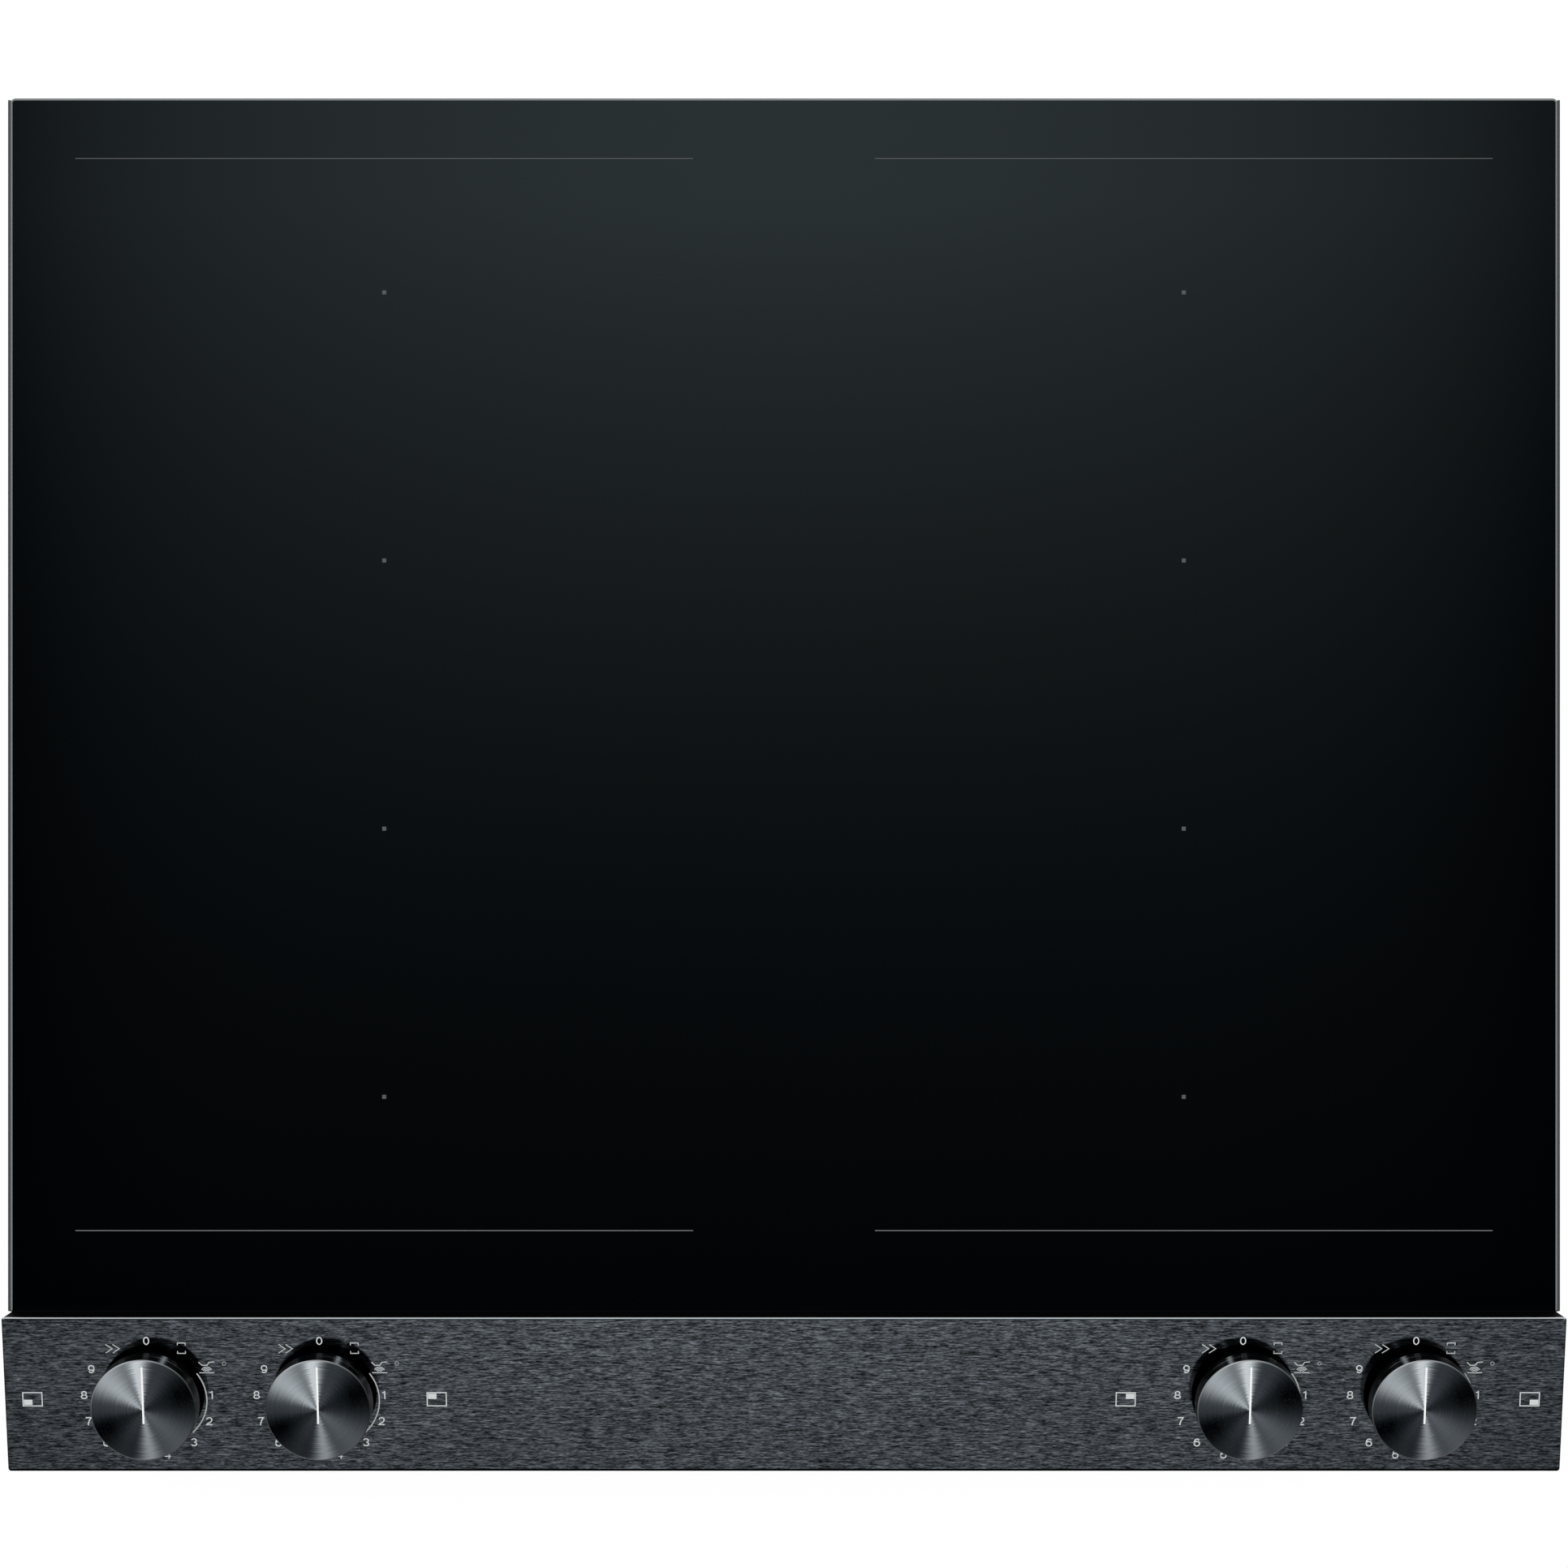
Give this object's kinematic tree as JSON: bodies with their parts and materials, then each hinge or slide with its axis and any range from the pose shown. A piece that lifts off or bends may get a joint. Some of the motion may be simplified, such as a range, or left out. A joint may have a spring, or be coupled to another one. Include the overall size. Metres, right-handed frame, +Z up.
{
  "type": "electric induction cooktop",
  "caption": "Built-in induction cooktop: frameless black glass with two long flexible zones and a raised sloping front panel with rotary knobs.",
  "frame": {"origin": "middle of the cooktop's outline, on the plane of the worktop that the sealing tape rests on", "axes": "+X to the user's right, +Y to the back, +Z up"},
  "size_m": [0.5896, 0.521, 0.0831],
  "materials": {
    "black_glass": "gloss",
    "black_trim": "satin",
    "dark_brushed_steel": "satin",
    "turned_dark_steel": "satin",
    "galvanised_steel": "satin",
    "spring_steel": "satin",
    "bright_steel": "satin",
    "motor_steel": "satin",
    "aluminium": "satin",
    "copper_litz": "satin",
    "ferrite": "matte",
    "mica": "matte",
    "silicone_black": "matte",
    "foam_tape": "matte",
    "rubber_grey": "matte",
    "black_moulding": "matte",
    "grey_moulding": "matte",
    "circuit_green": "satin",
    "component_blue": "gloss",
    "clear_diffuser": "gloss",
    "white_inlay": "satin"
  },
  "bodies": {
    "hob": {"base_tray": "galvanised_steel", "blower_cover": "black_moulding", "blower_housing": "black_moulding", "blower_motor": "motor_steel", "carrier_frame": "galvanised_steel", "coil_carrier_left": "grey_moulding", "coil_carrier_right": "grey_moulding", "coil_left_1": "copper_litz", "coil_left_2": "copper_litz", "coil_left_3": "copper_litz", "coil_left_4": "copper_litz", "coil_plate_left": "aluminium", "coil_plate_right": "aluminium", "coil_right_1": "copper_litz", "coil_right_2": "copper_litz", "coil_right_3": "copper_litz", "coil_right_4": "copper_litz", "coil_sensors": "grey_moulding", "control_fascia": "dark_brushed_steel", "cord_clamp": "black_moulding", "ferrite_bars": "ferrite", "filter_board": "circuit_green", "glass_plate": "black_glass", "heat_sink_left": "aluminium", "heat_sink_right": "aluminium", "light_rings": "clear_diffuser", "mica_sheets": "mica", "mounting_clips": "spring_steel", "operating_board": "circuit_green", "panel_carrier": "black_moulding", "power_board_left": "circuit_green", "power_board_right": "circuit_green", "power_components": "component_blue", "rotary_encoders": "bright_steel", "rubber_buffers": "rubber_grey", "sealing_tape": "foam_tape", "side_trim_left": "black_trim", "side_trim_right": "black_trim", "silicone_beads": "silicone_black", "terminal_block": "grey_moulding", "terminal_box": "black_moulding", "terminal_lid": "black_moulding", "tray_carrier": "black_moulding"},
    "blower_rotor": {"blower_wheel": "grey_moulding"},
    "knob_1": {"knob_cap_1": "turned_dark_steel", "knob_pointer_1": "white_inlay", "knob_shaft_1": "bright_steel"},
    "knob_2": {"knob_cap_2": "turned_dark_steel", "knob_pointer_2": "white_inlay", "knob_shaft_2": "bright_steel"},
    "knob_3": {"knob_cap_3": "turned_dark_steel", "knob_pointer_3": "white_inlay", "knob_shaft_3": "bright_steel"},
    "knob_4": {"knob_cap_4": "turned_dark_steel", "knob_pointer_4": "white_inlay", "knob_shaft_4": "bright_steel"}
  },
  "joints": [
    {"name": "knob_1_turn", "type": "hinge", "parent": "hob", "child": "knob_1", "pos_m": [-0.2392, -0.2318, 0.01356], "axis": [0, 0.1736, -0.9848], "range_deg": [0, 326]},
    {"name": "knob_2_turn", "type": "hinge", "parent": "hob", "child": "knob_2", "pos_m": [-0.174, -0.2318, 0.01356], "axis": [0, 0.1736, -0.9848], "range_deg": [0, 326]},
    {"name": "knob_3_turn", "type": "hinge", "parent": "hob", "child": "knob_3", "pos_m": [0.174, -0.2318, 0.01356], "axis": [0, 0.1736, -0.9848], "range_deg": [0, 326]},
    {"name": "knob_4_turn", "type": "hinge", "parent": "hob", "child": "knob_4", "pos_m": [0.2392, -0.2318, 0.01356], "axis": [0, 0.1736, -0.9848], "range_deg": [0, 326]},
    {"name": "blower_spin", "type": "hinge", "parent": "hob", "child": "blower_rotor", "pos_m": [-0.041, -0.1605, -0.03], "axis": [0, 0, 1], "continuous": true}
  ]
}
